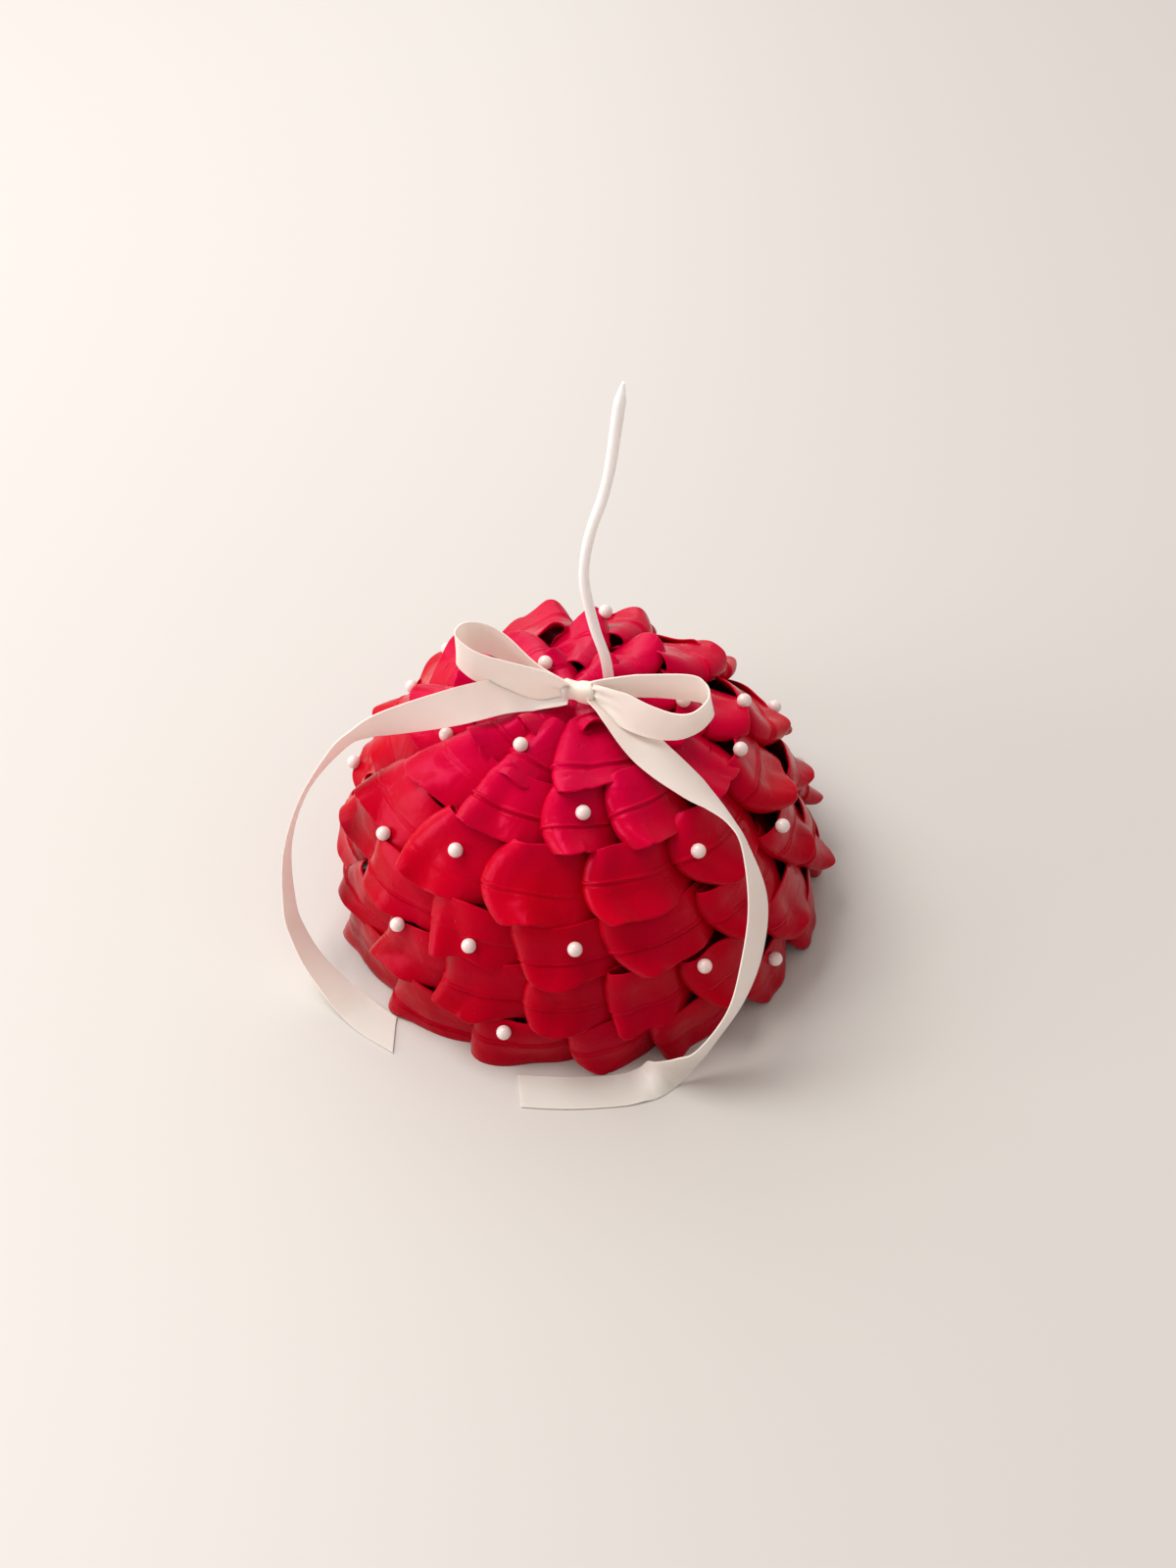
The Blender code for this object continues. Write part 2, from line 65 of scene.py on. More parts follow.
table_mesh = bpy.data.meshes.new("table")
half = 0.5 * TABLE_SIZE
table_mesh.from_pydata(
    [(-half, -half, 0.0), (half, -half, 0.0), (half, half, 0.0), (-half, half, 0.0)],
    [], [(0, 1, 2, 3)])
table = bpy.data.objects.new("table", table_mesh)
bpy.context.scene.collection.objects.link(table)
table_paint = bpy.data.materials.new("table_paint")
table_paint.use_nodes = True
table_shader = table_paint.node_tree.nodes["Principled BSDF"]
table_shader.inputs["Base Color"].default_value = (*TABLE_COLOUR, 1.0)
table_shader.inputs["Roughness"].default_value = 0.45
table_mesh.materials.append(table_paint)

ROOM_COLOUR = (1.0, 0.94, 0.89, 1.0)
ROOM_STRENGTH = 0.55
LIT_POINT = (0.0, 0.0, 0.03)
LAMPS = (
    ("window", (-0.9, 1.6, 1.2), 19.0, 2.6, 1.2, (0.96, 0.97, 1.0)),
    ("overhead", (-0.70, 0.30, 1.50), 19.0, 0.9, 0.9, (1.0, 0.97, 0.94)),
    ("left_wall", (-1.5, -0.3, 0.45), 10.0, 0.8, 0.8, (1.0, 0.93, 0.94)),
)

room = bpy.data.worlds.new("room")
room.use_nodes = True
background = room.node_tree.nodes["Background"]
background.inputs["Color"].default_value = ROOM_COLOUR
background.inputs["Strength"].default_value = ROOM_STRENGTH
bpy.context.scene.world = room
# Plain tones keep the crimson as deep as a phone camera shows it
bpy.context.scene.view_settings.view_transform = "Standard"

for name, place, power, width, height, colour in LAMPS:
    lamp = bpy.data.lights.new(name, "AREA")
    lamp.shape = "RECTANGLE"
    lamp.size = width
    lamp.size_y = height
    lamp.energy = power
    lamp.color = colour
    holder = bpy.data.objects.new(name, lamp)
    holder.location = place
    turn = (Vector(LIT_POINT) - Vector(place)).to_track_quat("-Z", "Y")
    holder.rotation_euler = turn.to_euler()
    bpy.context.scene.collection.objects.link(holder)


# The cake under the frosting
# A dome of sponge with a smooth crumb coat, which shows only between petals; its darker red is
# painted shade for the depth there.

DOME_RADIUS = 0.0665
DOME_HEIGHT = 0.0705
DOME_RISE = 1.9
DOME_ROUND = 2.8
CORE_DEPTH = 0.0049
BELOW = 0.012

height_line = np.linspace(0.0, DOME_HEIGHT, 3000)
radius_line = DOME_RADIUS * np.clip(
    1.0 - (height_line / DOME_HEIGHT) ** DOME_RISE, 0.0, 1.0) ** (1.0 / DOME_ROUND)
arc_line = np.concatenate(
    ([0.0], np.cumsum(np.hypot(np.diff(height_line), np.diff(radius_line)))))
CROWN = float(arc_line[-1])
height_line = np.concatenate(([-BELOW], height_line))
radius_line = np.concatenate(([DOME_RADIUS], radius_line))
arc_line = np.concatenate(([-BELOW], arc_line))


def dome_radius(along):
    """Radius of the dome at a distance along it from the base."""
    return np.interp(along, arc_line, radius_line)


def on_dome(angle, along, out):
    """Points at angles in radians, distances along the dome and heights out of it."""
    here = np.minimum(along, CROWN - 0.0005)
    step = 0.0015
    run = dome_radius(here + step) - dome_radius(here - step)
    rise = (np.interp(here + step, arc_line, height_line)
            - np.interp(here - step, arc_line, height_line))
    size = np.hypot(run, rise)
    radius = dome_radius(here) + out * rise / size
    height = np.interp(here, arc_line, height_line) - out * run / size
    parts = np.broadcast_arrays(radius * np.sin(angle), -radius * np.cos(angle), height)
    return np.stack(parts, axis=-1)


FROSTING_GLOW = (1.0, 0.05, 0.10)
FROSTING_SHINE_TINT = (1.0, 0.07, 0.30, 1.0)
# Painted light: the frosting is tinted pinker towards the crown, where the light falls on it
PAINTED_CROWN_LIGHT_FROM_HEIGHT = 0.052
PAINTED_CROWN_LIGHT_FULL_HEIGHT = 0.084
# Painted shade: the frosting is darkened towards the base
PAINTED_SHADE_BELOW_HEIGHT = 0.055
PAINTED_SHADE_DEEPEST_SHARE = 0.70
GLOSS_FULL_HEIGHT = 0.075
PIT_RADIUS = (0.03, 0.09)
UNEVENNESS = 3.2
RELIEF_DEPTH = 0.0004


def frosting_material(name, deep, bright, painted_crown_colour, streaks):
    """Whipped frosting: dense red, softly lit from within, with faint nozzle streaks and pits."""
    material = bpy.data.materials.new(name)
    material.use_nodes = True
    nodes = material.node_tree.nodes
    links = material.node_tree.links
    shader = nodes["Principled BSDF"]
    shader.inputs["Subsurface Weight"].default_value = 0.12
    shader.inputs["Subsurface Radius"].default_value = FROSTING_GLOW
    shader.inputs["Subsurface Scale"].default_value = 0.0015
    shader.inputs["Specular Tint"].default_value = FROSTING_SHINE_TINT
    shader.inputs["IOR"].default_value = 1.25

    # The colour: blotched at random, with painted light that tints it pinker towards the crown and
    # painted shade that deepens it towards the base
    place = nodes.new("ShaderNodeTexCoord")
    blotch = nodes.new("ShaderNodeTexNoise")
    blotch.inputs["Scale"].default_value = 45.0
    blotch.inputs["Detail"].default_value = 3.0
    links.new(place.outputs["Object"], blotch.inputs["Vector"])
    tone = nodes.new("ShaderNodeMix")
    tone.data_type = "RGBA"
    tone.inputs["A"].default_value = (*deep, 1.0)
    tone.inputs["B"].default_value = (*bright, 1.0)
    links.new(blotch.outputs["Fac"], tone.inputs["Factor"])
    apart = nodes.new("ShaderNodeSeparateXYZ")
    links.new(place.outputs["Object"], apart.inputs["Vector"])
    # Painted light: a pinker colour is mixed in towards the crown
    rise = nodes.new("ShaderNodeMapRange")
    rise.interpolation_type = "SMOOTHSTEP"
    rise.inputs["From Min"].default_value = PAINTED_CROWN_LIGHT_FROM_HEIGHT
    rise.inputs["From Max"].default_value = PAINTED_CROWN_LIGHT_FULL_HEIGHT
    links.new(apart.outputs["Z"], rise.inputs["Value"])
    painted_crown_light_mix = nodes.new("ShaderNodeMix")
    painted_crown_light_mix.data_type = "RGBA"
    painted_crown_light_mix.inputs["B"].default_value = (*painted_crown_colour, 1.0)
    links.new(rise.outputs["Result"], painted_crown_light_mix.inputs["Factor"])
    links.new(tone.outputs["Result"], painted_crown_light_mix.inputs["A"])
    # Painted shade: the colour is darkened towards the base, where the front lies in shade
    painted_shade_share = nodes.new("ShaderNodeMapRange")
    painted_shade_share.inputs["From Max"].default_value = PAINTED_SHADE_BELOW_HEIGHT
    painted_shade_share.inputs["To Min"].default_value = PAINTED_SHADE_DEEPEST_SHARE
    links.new(apart.outputs["Z"], painted_shade_share.inputs["Value"])
    lower = nodes.new("ShaderNodeVectorMath")
    lower.operation = "SCALE"
    links.new(painted_crown_light_mix.outputs["Result"], lower.inputs["Vector"])
    links.new(painted_shade_share.outputs["Result"], lower.inputs["Scale"])
    links.new(lower.outputs["Vector"], shader.inputs["Base Color"])

    # The gloss: strongest at the crown, where the frosting is smoothest
    shine = nodes.new("ShaderNodeMapRange")
    shine.inputs["From Max"].default_value = GLOSS_FULL_HEIGHT
    shine.inputs["To Min"].default_value = 0.30
    shine.inputs["To Max"].default_value = 1.0
    links.new(apart.outputs["Z"], shine.inputs["Value"])
    links.new(shine.outputs["Result"], shader.inputs["Specular IOR Level"])
    gloss = nodes.new("ShaderNodeMapRange")
    gloss.inputs["To Min"].default_value = 0.20
    gloss.inputs["To Max"].default_value = 0.32
    links.new(blotch.outputs["Fac"], gloss.inputs["Value"])
    links.new(gloss.outputs["Result"], shader.inputs["Roughness"])

    # The relief: fine grain, small pits and the soft unevenness of handwork
    grain = nodes.new("ShaderNodeTexNoise")
    grain.inputs["Scale"].default_value = 900.0
    grain.inputs["Detail"].default_value = 4.0
    links.new(place.outputs["Object"], grain.inputs["Vector"])
    pits = nodes.new("ShaderNodeTexVoronoi")
    pits.inputs["Scale"].default_value = 160.0
    links.new(place.outputs["Object"], pits.inputs["Vector"])
    hollow = nodes.new("ShaderNodeMapRange")
    hollow.interpolation_type = "SMOOTHSTEP"
    hollow.inputs["From Min"].default_value = PIT_RADIUS[0]
    hollow.inputs["From Max"].default_value = PIT_RADIUS[1]
    links.new(pits.outputs["Distance"], hollow.inputs["Value"])
    relief = nodes.new("ShaderNodeMath")
    relief.operation = "MULTIPLY_ADD"
    relief.inputs[1].default_value = streaks
    links.new(grain.outputs["Fac"], relief.inputs[0])
    links.new(hollow.outputs["Result"], relief.inputs[2])
    wobble = nodes.new("ShaderNodeTexNoise")
    wobble.inputs["Scale"].default_value = 120.0
    wobble.inputs["Detail"].default_value = 2.0
    wobble.inputs["Distortion"].default_value = 0.6
    links.new(place.outputs["Object"], wobble.inputs["Vector"])
    uneven = nodes.new("ShaderNodeMath")
    uneven.operation = "MULTIPLY_ADD"
    uneven.inputs[1].default_value = UNEVENNESS
    links.new(wobble.outputs["Fac"], uneven.inputs[0])
    links.new(relief.outputs["Value"], uneven.inputs[2])
    bump = nodes.new("ShaderNodeBump")
    bump.inputs["Strength"].default_value = 0.40
    bump.inputs["Distance"].default_value = RELIEF_DEPTH
    links.new(uneven.outputs["Value"], bump.inputs["Height"])
    links.new(bump.outputs["Normal"], shader.inputs["Normal"])
    return material


def smooth_piece(name, points, faces, material):
    """A mesh piece with smooth shading and one finish."""
    mesh = bpy.data.meshes.new(name)
    mesh.from_pydata(points.tolist(), [], faces.tolist())
    mesh.polygons.foreach_set("use_smooth", [True] * len(mesh.polygons))
    mesh.materials.append(material)
    mesh.update()
    piece = bpy.data.objects.new(name, mesh)
    bpy.context.scene.collection.objects.link(piece)
    return piece


# The crumb coat's reds are painted shade, darker than the frosting's; its crown colour is painted
# shade with the painted crown light
CRUMB_PAINTED_SHADE_DEEP = (0.20, 0.0005, 0.004)
CRUMB_PAINTED_SHADE_BRIGHT = (0.30, 0.001, 0.008)
CRUMB_PAINTED_SHADE_CROWN_LIGHT = (0.28, 0.001, 0.012)
crumb_coat_painted_shade = frosting_material("crumb_coat_painted_shade", CRUMB_PAINTED_SHADE_DEEP, CRUMB_PAINTED_SHADE_BRIGHT, CRUMB_PAINTED_SHADE_CROWN_LIGHT, 0.4)
CORE_SIDES = 96
CORE_RINGS = 40
turns = np.linspace(0.0, 2.0 * math.pi, CORE_SIDES, endpoint=False)
levels = np.linspace(0.0, CROWN - 0.003, CORE_RINGS)
core_points = on_dome(turns[None, :], levels[:, None], -CORE_DEPTH).reshape(-1, 3)
core_points = np.concatenate((core_points, [[0.0, 0.0, DOME_HEIGHT - CORE_DEPTH]]))
core_points[:CORE_SIDES, 2] = 0.0
core_faces = []
for ring in range(CORE_RINGS - 1):
    for side in range(CORE_SIDES):
        after = (side + 1) % CORE_SIDES
        core_faces.append((ring * CORE_SIDES + side, ring * CORE_SIDES + after,
                           (ring + 1) * CORE_SIDES + after, (ring + 1) * CORE_SIDES + side))
core_mesh = bpy.data.meshes.new("cake_body")
last = (CORE_RINGS - 1) * CORE_SIDES
for side in range(CORE_SIDES):
    core_faces.append((last + side, last + (side + 1) % CORE_SIDES, len(core_points) - 1))
core_faces.append(tuple(reversed(range(CORE_SIDES))))
core_mesh.from_pydata(core_points.tolist(), [], core_faces)
core_mesh.polygons.foreach_set("use_smooth", [True] * (len(core_mesh.polygons) - 1) + [False])
core_mesh.materials.append(crumb_coat_painted_shade)
cake_body = bpy.data.objects.new("cake_body", core_mesh)
bpy.context.scene.collection.objects.link(cake_body)
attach(cake_body, "root")
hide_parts("cake")


# The petals of frosting
# Broad bands of whipped frosting, piped with a petal nozzle in rows from the base up. Each starts
# in a fold at its left end, its right end runs under the next, and each row laps the one below.

PETAL_TUCK = 0.0034
PETAL_LAP = 1.22
PETAL_THICKNESS = 0.0018
EDGE_THICKNESS = 0.0004
FOLD_RADIUS = 0.0019
SHOULDER = 0.0034
SWAY = 0.00038
DISH = 0.0007
LOWER_FOLD_LIFT = 0.0009
UPPER_FOLD_LIFT = 0.0008
FOLD_HOLLOW = 0.0005
LOWER_EDGE_WAVE = 0.0009
UPPER_EDGE_WAVE = 0.0006
LOWER_EDGE_FLARE = 0.0014
UPPER_EDGE_FLARE = 0.0005
LOWER_EDGE_FLICK = 0.0008
NICK = 0.0004
NICK_WIDTH = 0.0006
RIDGE_WIDTH = 0.018
GROOVE_WIDTH = 0.025
LOWEST_ROW = 0.002
ACROSS = 24
# Each row: lower edge, upper edge, lip height, flare of the lower and upper edge, its petals. Each
# petal: the angle of its fold, 0 at the front and growing to the right, and how many degrees the
# fold's upper and lower ends lie further right
ROWS = (
    (0.0002, 0.019, 0.0032, 0.0014, -0.0002,
     ((-98, 3, -2), (-74, 3, -2), (-49, 3, -2), (-26, 1.5, -1.5), (-3.5, 0.5, 3.5), (16, -1, 1.7),
      (40, -1, 4), (60, -2, 3), (84, -2, 3), (108, -2, 3), (132, -1, 2), (154, -1, 2),
      (177, -1, 2), (200, 1, 1), (222, 2, 0), (242, 2, 0))),
    (0.016, 0.034, 0.0033, 0.0028, 0.0002,
     ((-100, 3, -2), (-77, 5, -3), (-54.5, 1.5, -2.5), (-34.5, 0.5, -1.5), (-13.5, 0.5, 0.5),
      (6, -0.5, 1), (25, -1, 3.5), (50, -1.5, 4), (73, -3.5, 5), (95, -2, 3), (118, -1, 3),
      (141, -1, 2), (164, 0, 2), (187, 1, 1), (211, 2, 0), (235, 2, 0))),
    (0.032, 0.049, 0.0032, 0.0028, 0.0008,
     ((-92, 2, 0), (-67, -1, 1), (-40.5, -1.5, 3), (-16.5, -1.5, 3.5), (7, -2.5, 5.5),
      (34, -1.5, 4), (62, -4, 4.5), (86, -3, 4), (108, -2, 3), (132, -1, 3), (156, 0, 2),
      (180, 1, 2), (205, 1, 1), (226, 2, 1), (247, 2, 0))),
    (0.047, 0.068, 0.0035, 0.0032, 0.0014,
     ((-84, 7, 0), (-55, 5.5, 1.5), (-29, 7.0, 7.0), (1.5, 3, 5.3), (30, 6, 11), (62, 2, 9),
      (92, 3, 7), (123, 3, 5), (153, 4, 4), (183, 4, 4), (214, 5, 2), (245, 6, 1))),
    (0.065, 0.084, 0.0038, 0.0033, 0.0016,
     ((-76, 3.5, -2), (-45, 4, 2), (-13.5, 2.5, 5.5), (13, 3, 4.5), (45, 2, 5), (78, 2, 5),
      (112, 3, 5), (147, 3, 4), (181, 3, 3), (214, 4, 2), (250, 4, 0))),
    (0.080, 0.101, 0.0038, 0.0033, 0.0012,
     ((-73, 3, 3), (-44, 6, 4), (-14, 4, 6), (48, 2, 7), (82, 3, 8), (118, 3, 8),
      (157, 3, 8), (198, 3, 8), (241, 3, 5))),
    (0.095, 0.109, 0.0036, 0.0026, 0.0006,
     ((-66, 0, 8), (0, 0, 8), (62, 0, 8), (122, 0, 8), (180, 0, 8), (238, 0, 8))),
)

# The deep and bright reds vary at random; the crown colour is painted light
CRIMSON_DEEP = (0.44, 0.0001, 0.001)
CRIMSON_BRIGHT = (0.57, 0.0001, 0.022)
CRIMSON_PAINTED_CROWN_LIGHT = (0.55, 0.0001, 0.046)
frosting = frosting_material("frosting", CRIMSON_DEEP, CRIMSON_BRIGHT, CRIMSON_PAINTED_CROWN_LIGHT, 0.25)
hand = np.random.default_rng(11)


def petal_strip(row, petal, following):
    """Points and faces of one piped petal, a closed band that turns back on itself at the fold."""
    low, high, lip, lift, curl, _ = row
    fold, at_top, at_bottom = petal
    reach = float(dome_radius(0.5 * (low + high)))
    length = PETAL_LAP * math.radians(following - fold) * reach * hand.uniform(0.97, 1.03)
    lip = lip * hand.uniform(0.90, 1.12)
    lift = lift * hand.uniform(0.85, 1.15)
    tilt = hand.uniform(-0.0016, 0.0016)
    phases = hand.uniform(0.0, 2.0 * math.pi, 12)
    ridge_at = hand.uniform(0.32, 0.58)
    drift = hand.uniform(-0.10, 0.10)
    streak = hand.uniform(0.0001, 0.0008)
    low = low + hand.uniform(-0.0010, 0.0010)
    high = high - hand.uniform(0.0, 0.0024)

    spread = 0.5 - 0.5 * np.cos(np.pi * np.arange(ACROSS + 1) / ACROSS)
    close = ridge_at + np.linspace(-0.11, 0.09, 15)
    level = np.sort(np.concatenate((spread[np.abs(spread - ridge_at + 0.01) > 0.11], close)))
    side = 2.0 * level - 1.0
    fold_radius = FOLD_RADIUS + 0.0004 * np.sin(np.pi * level) + 0.0004 * (level - 0.5) ** 2
    flare = lift * np.clip(1.0 - level / 0.62, 0.0, 1.0) ** 1.8 + curl * level ** 3
    crest = lip + flare + 0.0003 * np.sin(5.0 * level + phases[0])
    swing = 0.5 * (at_top - at_bottom) * side + 0.5 * (at_top + at_bottom) * side ** 2
    swing = np.radians(swing + 0.3 * np.sin(7.0 * level + phases[1]))

    # From inside the cake out to the fold, round it, and along the band to its tucked right end
    runs = []
    outs = []
    for share in np.linspace(0.0, 1.0, 6)[:-1]:
        ease = share * share * (3.0 - 2.0 * share)
        runs.append(0.40 * length * (1.0 - share) + fold_radius * share)
        outs.append((-CORE_DEPTH) * (1.0 - ease) + (crest - 2.0 * fold_radius) * ease)
    for turn in np.linspace(-0.5, 0.0, 6)[:-1] * math.pi:
        runs.append(fold_radius * (1.0 - math.cos(turn)))
        outs.append(crest - fold_radius + fold_radius * math.sin(turn))
    shoulder = SHOULDER + 0.0012 * level
    for turn in np.linspace(0.0, 0.5, 9)[:-1] * math.pi:
        runs.append(shoulder * (1.0 - math.cos(turn)) + 0.0 * level)
        outs.append(crest - fold_radius + fold_radius * math.sin(turn))
    for share in np.linspace(0.0, 1.0, 34) ** 1.1:
        drop = 1.0 - share ** 1.9
        base = (lip + PETAL_TUCK) * drop - PETAL_TUCK
        runs.append(shoulder + (length - shoulder) * share + 0.0 * level)
        outs.append(base + (crest - lip) * (1.0 - share) ** 0.6)
    run = np.array(runs)
    out = np.array(outs)
    fade = np.clip(1.0 - run / length, 0.0, 1.0)

    # The broad face sways a little and is dished towards its lower edge
    begun = np.clip(run / 0.008, 0.0, 1.0)
    sway = (np.sin(run / 0.0031 + 2.6 * level + phases[7])
            + np.sin(run / 0.0052 - 3.4 * level + phases[8]))
    out = out + SWAY * sway * begun * (0.25 + 0.75 * fade)
    dish = DISH * np.sin(math.pi * np.clip(level / 0.55, 0.0, 1.0)) ** 2
    out = out - dish * begun * fade ** 0.5

    # The fold stands proud at both ends, with a hollow behind it
    edge_low = (1.0 - level) ** 3
    edge_high = level ** 4
    bell = np.exp(-((run - 0.0030) / 0.0035) ** 2)
    out = out + (edge_low * LOWER_FOLD_LIFT + edge_high * UPPER_FOLD_LIFT) * bell
    hollow = np.exp(-((run - 0.0085) / 0.0030) ** 2)
    out = out - FOLD_HOLLOW * np.sin(math.pi * level) * hollow

    # Both edges wave, and the lower one flicks out, except in the row that the cake stands on
    wave = (np.sin(run / 0.0024 + phases[2]) * 0.5 + np.sin(run / 0.0043 + phases[3])
            + 0.12 * np.sin(run / 0.0010 + phases[9]))
    along = low + (high - low) * level + tilt * run / length
    along = along - edge_low * LOWER_EDGE_WAVE * wave * (0.2 + 0.8 * fade)
    along = along + edge_high * UPPER_EDGE_WAVE * np.sin(run / 0.0034 + phases[4])
    flare_low = 0.5 * LOWER_EDGE_FLARE if low < LOWEST_ROW else LOWER_EDGE_FLARE
    flick_low = -LOWER_EDGE_FLICK if low < LOWEST_ROW else LOWER_EDGE_FLICK
    out = out + edge_low * flare_low * np.sin(run / 0.0027 + phases[5]) * (0.1 + 0.9 * fade)
    flick = np.clip(1.0 - level / 0.16, 0.0, 1.0) ** 2
    out = out + flick_low * flick * begun * fade
    out = out + edge_high * UPPER_EDGE_FLARE * np.sin(run / 0.0032 + phases[6]) * (0.2 + 0.8 * fade)
    nick = hand.uniform(0.15, 0.75) * length
    along = along + edge_low ** 2 * NICK * np.exp(-((run - nick) / NICK_WIDTH) ** 2)
    radius = dome_radius(np.minimum(along, CROWN - 0.003))
    angle = math.radians(fold) + swing * fade + run / (0.5 * (radius + reach))
    middle = on_dome(angle, along, out)

    # The band's thickness, thin at both edges, with the nozzle's ridge and groove on its face
    to_tail = np.gradient(middle, axis=0)
    to_top = np.gradient(middle, axis=1)
    face = np.cross(to_tail, to_top)
    face /= np.linalg.norm(face, axis=2, keepdims=True)
    taper = np.clip((1.0 - np.abs(side)) / 0.45, 0.0, 1.0) ** 0.7
    half_thick = 0.5 * (EDGE_THICKNESS + (PETAL_THICKNESS - EDGE_THICKNESS) * taper)
    half_thick[0] = half_thick[-1] = 0.25 * EDGE_THICKNESS
    trail = (level[None, :] - ridge_at + drift * (run / length - 0.3))
    ridge = streak * np.exp(-(trail / RIDGE_WIDTH) ** 2)
    ridge = ridge - 0.7 * streak * np.exp(-((trail + 0.035) / GROOVE_WIDTH) ** 2)
    ridge = ridge * np.minimum(1.0, 3.0 * fade)
    outer = middle + face * (half_thick + ridge)[..., None]
    inner = middle - face * half_thick[None, :, None]
    rows, columns = run.shape
    points = np.concatenate((outer.reshape(-1, 3), inner.reshape(-1, 3)))
    points[:, 2] = np.maximum(points[:, 2], 0.00002)
    index = np.arange(rows * columns).reshape(rows, columns)
    under = index + rows * columns

    def cells(a):
        return np.stack((a[:-1, :-1], a[1:, :-1], a[1:, 1:], a[:-1, 1:]), axis=-1).reshape(-1, 4)

    faces = [cells(index), cells(under)[:, ::-1]]
    for line, back, flip in (
            (index[:, 0], under[:, 0], True), (index[:, -1], under[:, -1], False),
            (index[0], under[0], False), (index[-1], under[-1], True)):
        strip = np.stack((line[:-1], line[1:], back[1:], back[:-1]), axis=-1)
        faces.append(strip[:, ::-1] if flip else strip)
    return points, np.concatenate(faces)


petal_points = []
petal_faces = []
for number, row in enumerate(ROWS):
    petals_in_row = row[5]
    row_points = []
    row_faces = []
    count = 0
    for place, petal in enumerate(petals_in_row):
        last_one = place + 1 == len(petals_in_row)
        following = petals_in_row[0][0] + 360 if last_one else petals_in_row[place + 1][0]
        points, faces = petal_strip(row, petal, following)
        row_points.append(points)
        row_faces.append(faces + count)
        count += len(points)
    row_points = np.concatenate(row_points)
    row_faces = np.concatenate(row_faces)
    petals = smooth_piece(f"petals_row_{number + 1}", row_points, row_faces, frosting)
    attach(petals, "root")
    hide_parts("cake")
    petal_faces.append(row_faces + sum(len(p) for p in petal_points))
    petal_points.append(row_points)
petal_points = np.concatenate(petal_points)
petal_faces = np.concatenate(petal_faces)


# The lump of frosting at the crown
# A small rough heap that closes the top between the last petals, dabbed on with the tip of a knife.

LUMP_CENTRE = (0.0012, 0.0012, 0.0670)
LUMP_SIZE = (0.0090, 0.0084, 0.0074)
LUMP_SIDES = 64
LUMP_RINGS = 32

turns = np.linspace(0.0, 2.0 * math.pi, LUMP_SIDES, endpoint=False)
lifts = np.linspace(-0.5, 0.5, LUMP_RINGS) * math.pi
lump_points = []
for lift in lifts:
    for turn in turns:
        dab = 0.07 * math.sin(3.0 * turn + 2.0 * lift)
        dab += 0.05 * math.sin(5.0 * turn - 4.0 * lift + 1.0)
        dab += 0.03 * math.sin(9.0 * turn + 7.0 * lift)
        reach = 1.0 + dab * math.cos(lift)
        lump_points.append((
            LUMP_CENTRE[0] + LUMP_SIZE[0] * reach * math.cos(lift) * math.cos(turn),
            LUMP_CENTRE[1] + LUMP_SIZE[1] * reach * math.cos(lift) * math.sin(turn),
            LUMP_CENTRE[2] + LUMP_SIZE[2] * (1.0 + 0.5 * dab) * math.sin(lift)))
lump_faces = []
for ring in range(LUMP_RINGS - 1):
    for side in range(LUMP_SIDES):
        after = (side + 1) % LUMP_SIDES
        lump_faces.append((ring * LUMP_SIDES + side, ring * LUMP_SIDES + after,
                           (ring + 1) * LUMP_SIDES + after, (ring + 1) * LUMP_SIDES + side))
crown_lump = smooth_piece("crown_lump", np.array(lump_points), np.array(lump_faces), frosting)
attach(crown_lump, "root")
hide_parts("cake")


# The sugar pearls
# Small round sugar beads with a pearly glaze, pressed one by one on the petals.

PEARL_RADIUS = 0.0020
PEARL_SINK = 0.0006
PEARL_SIDES = 24
PEARL_RINGS = 12
PEARL_DARK = (0.78, 0.60, 0.57, 1.0)
PEARL_PALE = (0.90, 0.78, 0.75, 1.0)
FRONT_PEARLS = (
    (-18.2, 0.0139), (-48.5, 0.0322), (-28.0, 0.0377), (-1.9, 0.0416), (28.3, 0.0294),
    (48.9, 0.0147), (35.7, 0.0581), (-39.1, 0.0591), (2.0, 0.0746), (-38.2, 0.0886),
    (-79.5, 0.0759), (72.9, 0.0668), (64.5, 0.0465), (-142.7, 0.0986), (94.6, 0.0671),
    (-65.0, 0.0483), (83.3, 0.0834), (164.2, 0.0793), (-104.0, 0.0330), (-118.0, 0.0120),
)
# The back carries the same spread: height, first angle, step, number
BACK_PEARLS = ((0.010, 84, 36, 3), (0.027, 104, 42, 4), (0.043, 112, 40, 4), (0.055, 134, 44, 3))

pearl_places = list(FRONT_PEARLS)
for along, first, step, number in BACK_PEARLS:
    pearl_places += [(first + step * place, along) for place in range(number)]
skin = BVHTree.FromPolygons(petal_points.tolist(), petal_faces.tolist())
bead_angle = np.linspace(0.0, 2.0 * math.pi, PEARL_SIDES, endpoint=False)
bead_lift = np.linspace(-0.5, 0.5, PEARL_RINGS + 1)[1:-1] * math.pi
bead = np.stack((
    (np.cos(bead_lift)[:, None] * np.cos(bead_angle)[None, :]).ravel(),
    (np.cos(bead_lift)[:, None] * np.sin(bead_angle)[None, :]).ravel(),
    np.repeat(np.sin(bead_lift), PEARL_SIDES)), axis=-1)
bead = np.concatenate((bead, [[0.0, 0.0, -1.0], [0.0, 0.0, 1.0]]))
bead_faces = []
for ring in range(PEARL_RINGS - 2):
    for side in range(PEARL_SIDES):
        after = (side + 1) % PEARL_SIDES
        bead_faces.append((ring * PEARL_SIDES + side, ring * PEARL_SIDES + after,
                           (ring + 1) * PEARL_SIDES + after, (ring + 1) * PEARL_SIDES + side))
bottom = len(bead) - 2
top = len(bead) - 1
